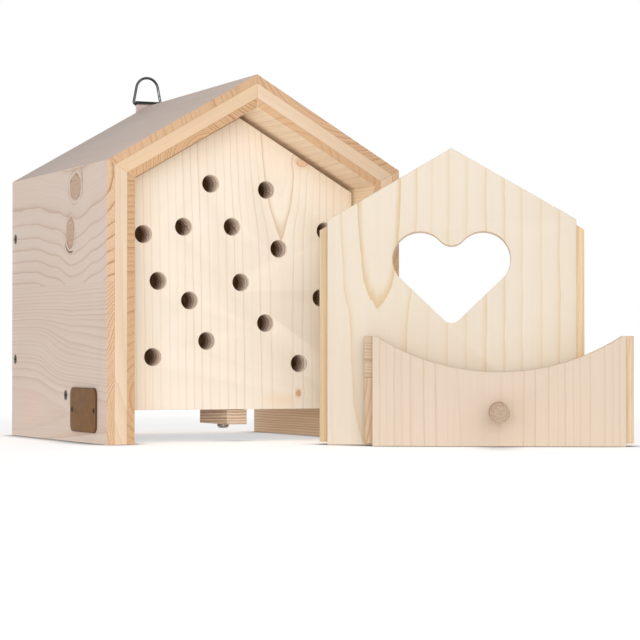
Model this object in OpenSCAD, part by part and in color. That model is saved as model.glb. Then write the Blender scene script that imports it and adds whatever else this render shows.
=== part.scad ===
// Ladybug house with three exchangeable fronts, made of three-layer softwood board.
// House coordinates: x across the front, y from the front edge to the back, z up from the ground.

/* [House shell] */
// Width over the two walls
house_w = 210; // [185:1:260]
// Depth of the walls and roof boards
house_d = 210; // [170:1:280]
// Height of the outer eave edge
eave_h = 184; // [160:1:240]
// Slope of both roof boards in degrees
roof_pitch = 30; // [22:1:38]
// Thickness of every board
board = 19; // [16:0.5:22]
// Free height under the floor board
floor_lift = 21.3; // [17:0.1:40]

/* [Fronts] */
// Distance of a seated front behind the front edge of the shell
front_recess = 31; // [10:1:45]
// Side clearance of a front with its strips between the walls
strip_gap = 0.3; // [0.2:0.1:1]
// Depth of the strips along the sides of a front
strip_depth = 12; // [6:0.5:15]
// Height of the strips' lower ends above the bottom of the front
strip_lift = 1.5; // [0:0.5:5]
// Distance of the strips' tops below the slope of the front
strip_drop = 3; // [0:0.5:8]
// Running clearance between pieces that move past each other
move_gap = 0.3; // [0.2:0.1:1]

/* [Drilled front] */
// Gap from the drilled panel to each wall
drilled_side_gap = 2.2; // [1:0.1:6]
// Gap from the drilled panel to the roof, square to the roof
drilled_roof_gap = 3.6; // [1:0.1:12]
// Diameter of the entrance holes
hole_d = 12; // [6:0.5:14]

/* [Loose fronts] */
// Gap that the loose panels leave to each wall when they are fitted
loose_side_gap = 5.7; // [1:0.1:9]
// Gap that the heart panel leaves to the roof, square to the roof
loose_roof_gap = 8.5; // [1:0.1:15]
// Radius of the two lobes of the heart
heart_lobe_r = 17.7; // [10:0.1:20]
// Distance between the centres of the lobes
heart_lobe_pitch = 41; // [36:0.5:50]
// Height of the lobes' centres above the bottom of the panel
heart_lobe_z = 120; // [105:0.5:125]
// Height of the tip of the heart above the bottom of the panel
heart_tip_z = 78.5; // [50:0.5:85]
// Radius of the rounded tip
heart_tip_r = 7; // [3:0.5:9]
// Radius of the rounded notch between the lobes
heart_notch_r = 9.7; // [7:0.1:14]
// Height of the half front at its sides
half_h = 70; // [60:1:100]
// Width of the scooped top of the half front
scoop_w = 157; // [100:1:159]
// Depth of the scoop at its middle
scoop_drop = 23; // [10:0.5:30]
// Diameter of the perch
perch_d = 12; // [8:0.5:14]
// Length of the perch in front of the panel
perch_l = 60; // [30:1:80]
// Height of the perch above the bottom of the panel
perch_z = 22; // [12:0.5:28]
// Chamfer at the free end of the perch
perch_chamfer = 1.2; // [0.5:0.1:2]

/* [Turn block] */
// Length of the block under the floor
block_l = 50; // [30:1:56]
// Width of the block
block_w = 14.5; // [12:0.5:30]
// Height of the block
block_h = 10; // [6:0.5:12]
// Distance of the pivot screw behind the front edge of the floor
pivot_setback = 10; // [6:0.5:20]

/* [Screws and pins] */
// Diameter of the wood screws' shanks
screw_d = 4; // [3:0.1:5]
// Diameter of the countersunk heads
screw_head_d = 7; // [6:0.1:9]
// Length of the wood screws in the walls
screw_l = 45; // [35:1:60]
// Distance of the back screws from the back edge
back_screw_inset = 8; // [6:0.5:10]
// Height of the lower back screws
back_screw_z = 55; // [45:1:100]
// Distance of the upper back screws below the eave
back_screw_drop = 42; // [30:1:55]
// Distance of the floor screws behind the front edge of the shell
floor_screw_y = 85; // [75:1:140]
// Diameter of the pan heads
pan_d = 8; // [6.5:0.1:10]
// Height of the pan heads
pan_h = 2.7; // [2:0.1:3.2]
// Depth of the pivot screw in the floor board
pivot_screw_depth = 14; // [10:0.5:15]
// Radial play of the turn block on its screw
pivot_play = 0.08; // [0.05:0.01:0.1]

/* [Label] */
// Length of the bare leather label on the left wall
label_l = 52.3; // [30:0.1:60]
// Height of the label
label_h = 29.4; // [20:0.1:35]
// Thickness of the label
label_t = 1.2; // [1:0.1:3]
// Corner radius of the label
label_r = 5; // [1:0.5:6]
// Distance of the label from the front edge
label_y = 19.3; // [10:0.1:60]
// Height of the label's lower edge
label_z = 6.9; // [3:0.1:30]
// Distance of the label pins from the label's ends
pin_inset = 3.8; // [3:0.1:8]
// Diameter of the domed pin heads
pin_head_d = 3.6; // [2.5:0.1:5]
// Diameter of the pin shanks
pin_d = 1.6; // [1:0.1:2]
// Length of the pins
pin_l = 13; // [8:0.5:16]

/* [Hanger] */
// Width of the hanger's steel strap
strap_w = 18; // [12:0.2:24]
// Length of the strap below the ring's lower bar
strap_l = 50; // [48:1:64]
// Thickness of the steel sheet that is folded to the strap
sheet_t = 1.2; // [0.8:0.1:1.6]
// Diameter of the ring's wire
wire_d = 2; // [1.6:0.1:2.4]
// Lean of the ring's two legs towards each other
ring_lean = 11; // [5:1:15]
// Bend radius of the wire at the ring's two lower corners
ring_corner = 1.5; // [1.3:0.1:4]
// Outer height of the ring
ring_h = 21.8; // [17:0.1:30]
// Height of the ring's lower bar above the ridge
ring_rise = 1.2; // [1.2:0.1:6]
// Radial play of the wire in the folded strap
wire_play = 0.08; // [0.05:0.01:0.1]
// Sideways play of the ring on the strap
ring_play = 0.1; // [0.05:0.05:0.5]
// Distance between the strap's two screws
strap_screw_pitch = 10; // [9:0.5:12]
// Diameter of the strap screws' shanks
strap_screw_d = 3; // [2.5:0.1:3.5]
// Length of the strap screws under the head
strap_screw_l = 16; // [12:0.5:19]

/* [Layout of the loose fronts] */
// Angle that both loose fronts are turned from the house, in degrees
loose_turn = 28; // [0:1:40]
// Sideways place of the heart front's middle
heart_x = 98; // [85:1:140]
// Distance of the heart front's middle before the shell
heart_y = 90; // [85:1:160]
// Sideways step from the heart front to the half front
half_step_x = 30; // [10:1:80]
// Gap between the two loose fronts
stack_gap = 3; // [1:0.5:20]

/* [Hidden] */

$fn = 64;
cut = 1;              // how far a cutter runs past the face it opens
fit = 0.05;           // radial room of screws, pins and the perch in their holes
recess_share = 0.55;  // width of a cross recess against its screw's head
recess_depth = 1.6;
// Pan head as shares of its diameter and height
pan_profile = [[0, 0], [0.5, 0], [0.5, 0.45], [0.42, 0.8], [0.27, 1], [0, 1]];

// Shell
half_w = house_w / 2;
inner_half = half_w - board;
ridge_h = eave_h + half_w * tan(roof_pitch);
inner_ridge = ridge_h - board / cos(roof_pitch);
inner_eave = inner_ridge - inner_half * tan(roof_pitch);

// Fronts
front_back = front_recess + board;
floor_front = front_back + move_gap;
front_half = inner_half - strip_gap;
drilled_half = inner_half - drilled_side_gap;
drilled_apex = inner_ridge - drilled_roof_gap / cos(roof_pitch);
loose_half = inner_half - loose_side_gap;
heart_apex = inner_ridge - floor_lift - loose_roof_gap / cos(roof_pitch);
drilled_height = drilled_apex - floor_lift;

// Places of the entrance holes as shares of the panel's half width and height
hole_places = [
    [-0.25, 0.77], [0.235, 0.755], [-0.823, 0.593], [-0.482, 0.621], [-0.064, 0.625],
    [0.345, 0.553], [0.757, 0.618], [-0.697, 0.436], [0.012, 0.435], [-0.43, 0.371],
    [0.228, 0.296], [-0.283, 0.234], [-0.742, 0.179], [0.526, 0.157], [0.72, 0.385], [0.83, 0.2]
];

// Heart
heart_c = heart_lobe_pitch / 2;
tip_centre_z = heart_tip_z + heart_tip_r;
flank_rise = heart_lobe_z - tip_centre_z;
flank_l = sqrt(heart_c * heart_c + flank_rise * flank_rise);
flank_normal = atan2(flank_rise, heart_c) - acos((heart_tip_r - heart_lobe_r) / flank_l);
notch_reach = heart_lobe_r + heart_notch_r;
notch_centre_z = heart_lobe_z + sqrt(notch_reach * notch_reach - heart_c * heart_c);

// Scoop of the half front
scoop_r = (scoop_w * scoop_w / 4 + scoop_drop * scoop_drop) / (2 * scoop_drop);

// Turn block
pivot_y = floor_front + pivot_setback;
block_top = floor_lift - move_gap;
block_bottom = block_top - block_h;

// Hanger
strap_t = 2 * sheet_t;
fold_in = wire_d / 2 + wire_play;
fold_out = fold_in + sheet_t;
bar_y = house_d + fold_out + move_gap / 3;
bar_z = ridge_h + ring_rise;
ring_bend = strap_w / 2 + ring_play + ring_corner;
strap_screw_low = strap_l - strap_w / 2;
bend_bulge = 0.04;     // how far the wire swells where a bend begins
small_pan = 0.8;       // size of the strap screws' heads against the pivot screw's

// Layout: the origin is the middle of the whole set's footprint
half_y = heart_y + half_step_x * sin(loose_turn) + (board + stack_gap) * cos(loose_turn);
half_x = heart_x + half_step_x * cos(loose_turn) - (board + stack_gap) * sin(loose_turn);
perch_tip = max(
    perch_d / 2 * sin(loose_turn) + (perch_l - perch_chamfer) * cos(loose_turn),
    (perch_d / 2 - perch_chamfer) * sin(loose_turn) + perch_l * cos(loose_turn)
);
set_left = -half_w - label_t - pin_head_d / 4;
set_right = half_x + front_half * cos(loose_turn) + board * sin(loose_turn);
set_front = -half_y - max(perch_tip, loose_half * sin(loose_turn));
set_back = max(house_d + strap_t + small_pan * pan_h, bar_y + fold_out);
shift = [-(set_left + set_right) / 2, -(set_front + set_back) / 2, 0];

echo(shift = shift, bar = [shift[0], bar_y + shift[1], bar_z], pivot = [shift[0], pivot_y + shift[1]]);
echo(set = [set_right - set_left, set_back - set_front], ridge_h = ridge_h, inner_ridge = inner_ridge);

// Moves a piece from house coordinates to the set's own frame
module in_set() {
    translate(shift) children();
}

// Extrudes an x and z outline from y_from towards the back
module along_depth(y_from, depth) {
    translate([0, y_from + depth, 0])
        rotate([90, 0, 0])
            linear_extrude(height = depth) children();
}

// Countersunk wood screw, head at z = 0 and point upwards; as a cutter it has extra room all
// round and starts above the head
module wood_screw(extra, above, length) {
    head_r = screw_head_d / 2 + extra;
    shank_r = screw_d / 2 + extra;
    head_depth = head_r - shank_r;
    point = screw_d;       // length of the tapered point
    rotate_extrude()
        polygon([[0, -above], [head_r, -above], [head_r, 0], [shank_r, head_depth],
            [shank_r, length - point], [0, length + extra]]);
}

// Cross recess in a screw head, driven in along z
module cross_recess(size, depth) {
    blade = size / 4;
    translate([-size / 2, -blade / 2, -cut]) cube([size, blade, depth + cut]);
    translate([-blade / 2, -size / 2, -cut]) cube([blade, size, depth + cut]);
}

module screw_with_recess(length) {
    difference() {
        wood_screw(0, 0, length);
        cross_recess(recess_share * screw_head_d, recess_depth);
    }
}

// Places of the screws that come in through a wall, with z along the screw
module at_wall_screws(places, side) {
    for (p = places)
        translate([side * half_w, p[0], p[1]])
            rotate([0, -side * 90, 0]) children();
}

back_screw_places = [
    [house_d - back_screw_inset, back_screw_z],
    [house_d - back_screw_inset, eave_h - back_screw_drop]
];
floor_screw_places = [[floor_screw_y, floor_lift + board / 2]];
wall_screw_places = concat(back_screw_places, floor_screw_places);

module screw_holes(places) {
    for (side = [-1, 1])
        at_wall_screws(places, side) wood_screw(fit, cut, screw_l);
}

// Shell
module wall(side) {
    difference() {
        along_depth(0, house_d)
            polygon([[side * half_w, 0], [side * half_w, eave_h],
                [side * inner_half, inner_eave], [side * inner_half, 0]]);
        screw_holes(wall_screw_places);
    }
}

module left_wall() {
    color("burlywood")
        difference() {
            wall(-1);
            at_label_pins() pin(fit);
        }
}

module right_wall() {
    color("burlywood") wall(1);
}

module roof(side) {
    along_depth(0, house_d)
        polygon([[side * half_w, eave_h], [0, ridge_h], [0, inner_ridge],
            [side * inner_half, inner_eave]]);
}

module left_roof() {
    color("tan") roof(-1);
}

module right_roof() {
    color("tan") roof(1);
}

module back_wall() {
    color("burlywood")
        difference() {
            along_depth(house_d - board, board)
                polygon([[-inner_half, floor_lift], [inner_half, floor_lift],
                    [inner_half, inner_eave], [0, inner_ridge], [-inner_half, inner_eave]]);
            screw_holes(back_screw_places);
            at_strap_screws() strap_screw(fit, cut);
        }
}

module floor_board() {
    color("burlywood")
        difference() {
            translate([-inner_half, floor_front, floor_lift])
                cube([2 * inner_half, house_d - board - floor_front, board]);
            screw_holes(floor_screw_places);
            pivot_screw(fit);
        }
}

module wall_screws(places) {
    color("silver")
        for (side = [-1, 1])
            at_wall_screws(places, side) screw_with_recess(screw_l);
}

module back_wall_screws() {
    wall_screws(back_screw_places);
}

module floor_screws() {
    wall_screws(floor_screw_places);
}

// Outline of a pointed panel from z_low up to an apex
module pointed_outline(half, z_low, z_apex) {
    z_eave = z_apex - half * tan(roof_pitch);
    polygon([[-half, z_low], [half, z_low], [half, z_eave], [0, z_apex], [-half, z_eave]]);
}

// Strip along one side of a front, flush with the panel's back face at y_back
module side_strip(side, half, z_low, z_eave, slope, y_back) {
    z_top = z_eave - strip_drop;
    z_out = z_top - (front_half - half) * slope;
    along_depth(y_back - strip_depth, strip_depth)
        polygon([[side * half, z_low + strip_lift], [side * front_half, z_low + strip_lift],
            [side * front_half, z_out], [side * half, z_top]]);
}

// Drilled front, seated in the house
module drilled_panel() {
    color("moccasin")
        difference() {
            along_depth(front_recess, board)
                pointed_outline(drilled_half, floor_lift, drilled_apex);
            for (p = hole_places)
                translate([p[0] * drilled_half, front_recess - cut,
                    floor_lift + p[1] * drilled_height])
                    rotate([-90, 0, 0]) cylinder(d = hole_d, h = board + 2 * cut);
        }
}

module drilled_strip(side) {
    slope = tan(roof_pitch);
    color("peru")
        side_strip(side, drilled_half, floor_lift, drilled_apex - drilled_half * slope, slope,
            front_back);
}

// Turn block under the floor with its pan-head screw
module pivot_screw(extra) {
    shank_r = screw_d / 2 + extra;
    translate([0, pivot_y, 0])
        rotate_extrude()
            polygon([[0, block_bottom - move_gap], [shank_r, block_bottom - move_gap],
                [shank_r, floor_lift + pivot_screw_depth - screw_d],
                [0, floor_lift + pivot_screw_depth + extra]]);
}

// Pan head that stands on z = 0 and is driven from above
module pan_head() {
    difference() {
        rotate_extrude()
            polygon([for (p = pan_profile) [p[0] * pan_d, p[1] * pan_h]]);
        translate([0, 0, pan_h]) mirror([0, 0, 1]) cross_recess(recess_share * pan_d, recess_depth);
    }
}

module turn_block() {
    color("peru")
        difference() {
            translate([-block_w / 2, pivot_y - block_l / 2, block_bottom])
                cube([block_w, block_l, block_h]);
            translate([0, pivot_y, block_bottom - cut])
                cylinder(r = screw_d / 2 + pivot_play, h = block_h + 2 * cut);
        }
}

module turn_block_screw() {
    color("silver") {
        pivot_screw(0);
        translate([0, pivot_y, block_bottom - move_gap]) mirror([0, 0, 1]) pan_head();
    }
}

// Hanger: folded strap on the back, its screws and the ring
module at_strap_screws() {
    for (i = [0, 1])
        translate([0, house_d + strap_t, bar_z - strap_screw_low + i * strap_screw_pitch])
            rotate([90, 0, 0]) children();
}

module strap_screw(extra, above) {
    shank_r = strap_screw_d / 2 + extra;
    rotate_extrude()
        polygon([[0, -above], [shank_r, -above], [shank_r, strap_screw_l - strap_screw_d],
            [0, strap_screw_l + extra]]);
}

module hanger_strap() {
    color("silver")
        difference() {
            union() {
                translate([-strap_w / 2, house_d, bar_z - strap_screw_low])
                    cube([strap_w, strap_t, strap_screw_low - fold_in]);
                translate([0, house_d, bar_z - strap_screw_low])
                    rotate([-90, 0, 0]) cylinder(d = strap_w, h = strap_t);
                translate([-strap_w / 2, bar_y, bar_z])
                    rotate([0, 90, 0]) cylinder(r = fold_out, h = strap_w);
            }
            translate([-strap_w / 2 - cut, bar_y, bar_z])
                rotate([0, 90, 0]) cylinder(r = fold_in, h = strap_w + 2 * cut);
            at_strap_screws() strap_screw(fit, cut);
        }
}

module hanger_screws() {
    color("silver")
        at_strap_screws() {
            strap_screw(0, 0);
            mirror([0, 0, 1]) scale(small_pan) pan_head();
        }
}

// Ring in the x and z plane, lower bar along x through the origin
module ring() {
    r = wire_d / 2;
    bar_l = 2 * (ring_bend - ring_corner);
    leg_spread = bar_l / 2 / cos(ring_lean) + ring_corner;
    leg_l = (ring_h - wire_d - ring_corner * (1 + sin(ring_lean)) - leg_spread * (1 - sin(ring_lean)))
        / (cos(ring_lean) - tan(ring_lean) * (1 - sin(ring_lean)));
    top_r = leg_spread - leg_l * tan(ring_lean);
    top_z = ring_corner + (ring_corner - top_r) * sin(ring_lean) + leg_l * cos(ring_lean);
    translate([-bar_l / 2, 0, 0]) rotate([0, 90, 0]) cylinder(r = r, h = bar_l);
    for (side = [-1, 1]) {
        translate([side * (bar_l / 2 + ring_corner * cos(ring_lean)), 0,
            ring_corner * (1 + sin(ring_lean))])
            rotate([0, -side * ring_lean, 0]) {
                cylinder(r = r, h = leg_l);
                for (z = [0, leg_l])
                    translate([0, 0, z]) sphere(r = r + bend_bulge);
            }
        translate([side * (ring_bend - ring_corner), 0, ring_corner])
            rotate([90, 0, side > 0 ? 0 : 180])
                rotate([0, 0, -90])
                    rotate_extrude(angle = 90 + ring_lean) translate([ring_corner, 0]) circle(r = r);
    }
    translate([0, 0, top_z])
        rotate([90, 0, 0]) rotate([0, 0, ring_lean])
            rotate_extrude(angle = 180 - 2 * ring_lean) translate([top_r, 0]) circle(r = r);
}

module hanger_ring() {
    color("silver") translate([0, bar_y, bar_z]) ring();
}

// Bare leather label and its two pins on the left wall
module at_label_pins() {
    for (y = [label_y + pin_inset, label_y + label_l - pin_inset])
        translate([-half_w - label_t, y, label_z + label_h / 2]) rotate([0, 90, 0]) children();
}

module pin(extra) {
    r = pin_d / 2 + extra;
    rotate_extrude()
        polygon([[0, 0], [r, 0], [r, pin_l - pin_d], [0, pin_l + extra]]);
}

module label_patch() {
    color("saddlebrown")
        difference() {
            translate([-half_w, label_y, label_z])
                rotate([90, 0, -90])
                    linear_extrude(height = label_t) {
                        translate([-label_l, label_r])
                            square([label_l, label_h - 2 * label_r]);
                        translate([-label_l + label_r, 0])
                            square([label_l - 2 * label_r, label_h]);
                        for (x = [label_r, label_l - label_r], z = [label_r, label_h - label_r])
                            translate([-x, z]) circle(r = label_r);
                    }
            at_label_pins() translate([0, 0, -cut]) pin_bore();
        }
}

module pin_bore() {
    cylinder(r = pin_d / 2 + fit, h = label_t + 2 * cut);
}

module label_pins() {
    dome_h = pin_head_d / 4;
    dome_r = (pin_head_d * pin_head_d / 4 + dome_h * dome_h) / (2 * dome_h);
    color("dimgray")
        at_label_pins() {
            pin(0);
            intersection() {
                translate([0, 0, dome_r - dome_h]) sphere(r = dome_r);
                translate([0, 0, -dome_h]) cylinder(d = pin_head_d + cut, h = dome_h);
            }
        }
}

// Loose fronts: local x across, y = 0 on the front face, z up from the ground
module at_heart_front() {
    translate([heart_x, -heart_y, 0]) rotate([0, 0, -loose_turn]) children();
}

module at_half_front() {
    translate([half_x, -half_y, 0]) rotate([0, 0, -loose_turn]) children();
}

module heart_outline() {
    n = [cos(flank_normal), sin(flank_normal)];
    lobe = [heart_c, heart_lobe_z];
    tip = [0, tip_centre_z];
    lobe_touch = lobe + heart_lobe_r * n;
    tip_touch = tip + heart_tip_r * n;
    difference() {
        union() {
            translate([0, tip_centre_z]) circle(r = heart_tip_r);
            for (side = [-1, 1])
                translate([side * heart_c, heart_lobe_z]) circle(r = heart_lobe_r);
            polygon([tip, tip_touch, lobe_touch, lobe, [0, notch_centre_z],
                [-lobe[0], lobe[1]], [-lobe_touch[0], lobe_touch[1]],
                [-tip_touch[0], tip_touch[1]]]);
        }
        translate([0, notch_centre_z]) circle(r = heart_notch_r);
    }
}

module heart_panel() {
    color("wheat")
        at_heart_front()
            difference() {
                along_depth(0, board) pointed_outline(loose_half, 0, heart_apex);
                along_depth(-cut, board + 2 * cut) heart_outline();
            }
}

module heart_strip(side) {
    slope = tan(roof_pitch);
    color("peru")
        at_heart_front()
            side_strip(side, loose_half, 0, heart_apex - loose_half * slope, slope, board);
}

module half_panel() {
    color("wheat")
        at_half_front()
            difference() {
                along_depth(0, board)
                    difference() {
                        translate([-loose_half, 0]) square([2 * loose_half, half_h]);
                        translate([0, half_h - scoop_drop + scoop_r])
                            circle(r = scoop_r, $fn = 256);
                    }
                translate([0, -cut, perch_z])
                    rotate([-90, 0, 0]) cylinder(r = perch_d / 2 + fit, h = board + 2 * cut);
            }
}

module half_strip(side) {
    color("peru")
        at_half_front() side_strip(side, loose_half, 0, half_h + strip_drop, 0, board);
}

module perch_dowel() {
    r = perch_d / 2;
    length = perch_l + board;
    color("peru")
        at_half_front()
            translate([0, board, perch_z])
                rotate([90, 0, 0])
                    rotate_extrude()
                        polygon([[0, 0], [r, 0], [r, length - perch_chamfer],
                            [r - perch_chamfer, length], [0, length]]);
}

in_set() left_wall();
in_set() right_wall();
in_set() left_roof();
in_set() right_roof();
in_set() back_wall();
in_set() floor_board();
in_set() back_wall_screws();
in_set() floor_screws();
in_set() drilled_panel();
in_set() drilled_strip(-1);  // drilled_left_strip
in_set() drilled_strip(1);  // drilled_right_strip
in_set() turn_block();
in_set() turn_block_screw();
in_set() hanger_strap();
in_set() hanger_screws();
in_set() hanger_ring();
in_set() label_patch();
in_set() label_pins();
in_set() heart_panel();
in_set() heart_strip(-1);  // heart_left_strip
in_set() heart_strip(1);  // heart_right_strip
in_set() half_panel();
in_set() half_strip(-1);  // half_left_strip
in_set() half_strip(1);  // half_right_strip
in_set() perch_dowel();
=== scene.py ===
import math
import random

import bpy
from mathutils import Matrix, Vector


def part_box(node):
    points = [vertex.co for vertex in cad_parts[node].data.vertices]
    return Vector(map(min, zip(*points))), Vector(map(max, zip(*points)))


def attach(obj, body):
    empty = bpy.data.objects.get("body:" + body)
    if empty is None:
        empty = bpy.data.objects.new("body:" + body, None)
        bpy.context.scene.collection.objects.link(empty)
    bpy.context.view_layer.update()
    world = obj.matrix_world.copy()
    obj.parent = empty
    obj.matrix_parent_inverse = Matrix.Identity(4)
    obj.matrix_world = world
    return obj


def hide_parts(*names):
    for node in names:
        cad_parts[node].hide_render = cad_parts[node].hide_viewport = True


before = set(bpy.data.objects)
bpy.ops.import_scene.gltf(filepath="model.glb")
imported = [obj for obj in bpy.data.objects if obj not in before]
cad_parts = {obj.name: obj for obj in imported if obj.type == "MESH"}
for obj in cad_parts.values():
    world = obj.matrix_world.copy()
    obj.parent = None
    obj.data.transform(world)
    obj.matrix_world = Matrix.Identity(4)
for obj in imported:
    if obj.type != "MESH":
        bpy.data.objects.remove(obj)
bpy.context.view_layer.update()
mm = 0.001
print("frame loaded, nodes:", len(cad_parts))


# Helpers for node trees

def put(tree, kind, wires=None, **settings):
    node = tree.nodes.new(kind)
    for key, value in settings.items():
        setattr(node, key, value)
    for key, value in (wires or {}).items():
        if isinstance(value, bpy.types.NodeSocket):
            tree.links.new(value, node.inputs[key])
        else:
            node.inputs[key].default_value = value
    return node


def maths(tree, operation, first, second=None, third=None):
    wires = {0: first}
    if second is not None:
        wires[1] = second
    if third is not None:
        wires[2] = third
    return put(tree, "ShaderNodeMath", wires, operation=operation).outputs[0]


def product(tree, value, *factors):
    for factor in factors:
        value = maths(tree, "MULTIPLY", value, factor)
    return value


def minus(tree, first, second):
    return maths(tree, "SUBTRACT", first, second)


def timesPlus(tree, value, rate, more):
    return maths(tree, "MULTIPLY_ADD", value, rate, more)


def spanOf(tree, first, second):
    return maths(tree, "SQRT", timesPlus(tree, first, first, product(tree, second, second)))


def smooth(tree, value, low, high, start=0.0, end=1.0):
    wires = {"Value": value, "From Min": low, "From Max": high, "To Min": start, "To Max": end}
    return put(tree, "ShaderNodeMapRange", wires, interpolation_type="SMOOTHSTEP").outputs[0]


def closeTo(tree, value, middle, near, far, most=1.0):
    return smooth(tree, maths(tree, "ABSOLUTE", minus(tree, value, middle)), near, far, most, 0.0)


def mixColour(tree, amount, first, second, way="MIX"):
    return put(tree, "ShaderNodeMix", {0: amount, 6: first, 7: second}, data_type="RGBA", blend_type=way).outputs[2]


def toned(tree, colour, tone):
    grey = put(tree, "ShaderNodeCombineColor", {0: tone, 1: tone, 2: tone}).outputs[0]
    return mixColour(tree, 1.0, colour, grey, "MULTIPLY")


def vector(tree, x, y, z):
    return put(tree, "ShaderNodeCombineXYZ", {0: x, 1: y, 2: z}).outputs[0]


def split(tree, value):
    return put(tree, "ShaderNodeSeparateXYZ", {0: value}).outputs


def stretched(tree, parts, rates):
    return vector(tree, *[product(tree, part, rate) for part, rate in zip(parts, rates)])


def noise(tree, place, seed, detail=1.0, rough=0.5):
    return put(tree, "ShaderNodeTexNoise", {"Vector": place, "W": seed, "Scale": 1.0, "Detail": detail,
                                            "Roughness": rough}, noise_dimensions="4D").outputs[0]


def bell(tree, value, middle, reach):
    share = maths(tree, "DIVIDE", minus(tree, value, middle), reach)
    return maths(tree, "EXPONENT", product(tree, share, share, -1.0))


def rgba(colour, gain=1.0):
    return (colour[0] * gain, colour[1] * gain, colour[2] * gain, 1.0)


def newGroup(name, inputs, outputs):
    tree = bpy.data.node_groups.new(name, "ShaderNodeTree")
    for label, kind, value in inputs:
        socket = tree.interface.new_socket(label, in_out="INPUT", socket_type="NodeSocket" + kind)
        if value is not None:
            socket.default_value = value
    for label in outputs:
        tree.interface.new_socket(label, in_out="OUTPUT", socket_type="NodeSocketFloat")
    return tree, tree.nodes.new("NodeGroupInput").outputs, tree.nodes.new("NodeGroupOutput").inputs


def useGroup(tree, group, wires):
    return put(tree, "ShaderNodeGroup", wires, node_tree=group).outputs


def emptyTree(owner):
    owner.use_nodes = True
    owner.node_tree.nodes.clear()
    return owner.node_tree


def newMaterial(name):
    material = bpy.data.materials.new(name)
    tree = emptyTree(material)
    shader = put(tree, "ShaderNodeBsdfPrincipled")
    put(tree, "ShaderNodeOutputMaterial", {"Surface": shader.outputs[0]})
    return material, tree, shader


# Where a spot lies on its piece, in millimetres from the piece's middle, and which way its face looks
def ownPlace(tree, middle, turn=(0, 0, 0)):
    given = put(tree, "ShaderNodeTexCoord").outputs
    point = put(tree, "ShaderNodeMapping", {"Vector": given["Object"], "Location": middle, "Rotation": turn,
                                            "Scale": (mm, mm, mm)}, vector_type="TEXTURE").outputs[0]
    facing = put(tree, "ShaderNodeMapping", {"Vector": given["Normal"], "Rotation": turn},
                 vector_type="TEXTURE").outputs[0]
    return point, facing


# Colour, roughness and relief of a finish, the relief as its strength and its depth in metres
def surface(tree, shader, colour, rough, height, relief, shine=0.3):
    bump = put(tree, "ShaderNodeBump", {"Strength": relief[0], "Distance": relief[1], "Height": height})
    tree.links.new(colour, shader.inputs["Base Color"])
    tree.links.new(rough, shader.inputs["Roughness"])
    tree.links.new(bump.outputs[0], shader.inputs["Normal"])
    shader.inputs["Specular IOR Level"].default_value = shine


# Growth rings of a stem along x, in millimetres, cut open by whatever face shows
ringHabit = {"slowRates": (0.011, 0.022, 0.022), "slowShare": 4.0, "fineRates": (0.045, 0.3, 0.3), "fineShare": 0.25,
             "unevenRate": 0.31, "lineEnd": (0.955, 1.0), "yearStep": 31.7, "evenYear": 0.9, "clearReach": 3.0,
             "clearBlunt": -0.6, "clearGain": 0.8, "fadeWithin": (1.5, 4.5), "faded": 0.25}


def makeGrowthRings():
    habit = ringHabit
    tree, given, out = newGroup("growthRings", [
        ("Point", "Vector", None), ("Middle", "Float", 0.0), ("Deep", "Float", 20.0), ("Taper", "Float", 0.0),
        ("Reach", "Float", 30.0), ("Spacing", "Float", 5.0), ("Wave", "Float", 1.0), ("Uneven", "Float", 2.2),
        ("Vary", "Float", 0.75), ("Sharp", "Float", 6.0), ("Strong", "Float", -500.0), ("Seed", "Float", 0.0)],
        ["Line"])
    parts = split(tree, given["Point"])
    sideways = minus(tree, parts[1], given["Middle"])
    radius = spanOf(tree, sideways, minus(tree, parts[2], given["Deep"]))
    taper = product(tree, given["Taper"], bell(tree, sideways, 0.0, given["Reach"]))
    slow = noise(tree, stretched(tree, parts, habit["slowRates"]), given["Seed"])
    fine = noise(tree, stretched(tree, parts, habit["fineRates"]), given["Seed"], detail=2.0)
    ring = minus(tree, radius, taper)
    ring = timesPlus(tree, minus(tree, slow, 0.5), product(tree, given["Wave"], habit["slowShare"]), ring)
    ring = timesPlus(tree, minus(tree, fine, 0.5), product(tree, given["Spacing"], habit["fineShare"]), ring)
    count = maths(tree, "DIVIDE", ring, given["Spacing"])
    place = timesPlus(tree, count, habit["unevenRate"], given["Seed"])
    uneven = put(tree, "ShaderNodeTexNoise", {"W": place, "Scale": 1.0, "Detail": 1.0},
                 noise_dimensions="1D").outputs[0]
    count = timesPlus(tree, minus(tree, uneven, 0.5), given["Uneven"], count)
    season = maths(tree, "FRACT", count)
    clear = bell(tree, minus(tree, ring, given["Strong"]), 0.0, habit["clearReach"])
    sharp = product(tree, given["Sharp"], timesPlus(tree, clear, habit["clearBlunt"], 1.0))
    line = product(tree, maths(tree, "POWER", season, sharp), smooth(tree, season, *habit["lineEnd"], 1.0, 0.0))
    year = timesPlus(tree, given["Seed"], habit["yearStep"], maths(tree, "FLOOR", count))
    strength = put(tree, "ShaderNodeTexWhiteNoise", {"W": year}, noise_dimensions="1D").outputs[0]
    strength = product(tree, minus(tree, strength, habit["evenYear"]), given["Vary"])
    strength = timesPlus(tree, clear, habit["clearGain"], maths(tree, "ADD", strength, 1.0))
    within = minus(tree, given["Strong"], ring)
    faded = smooth(tree, within, *habit["fadeWithin"], 1.0, habit["faded"])
    tree.links.new(product(tree, line, product(tree, strength, faded)), out["Line"])
    return tree


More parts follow.
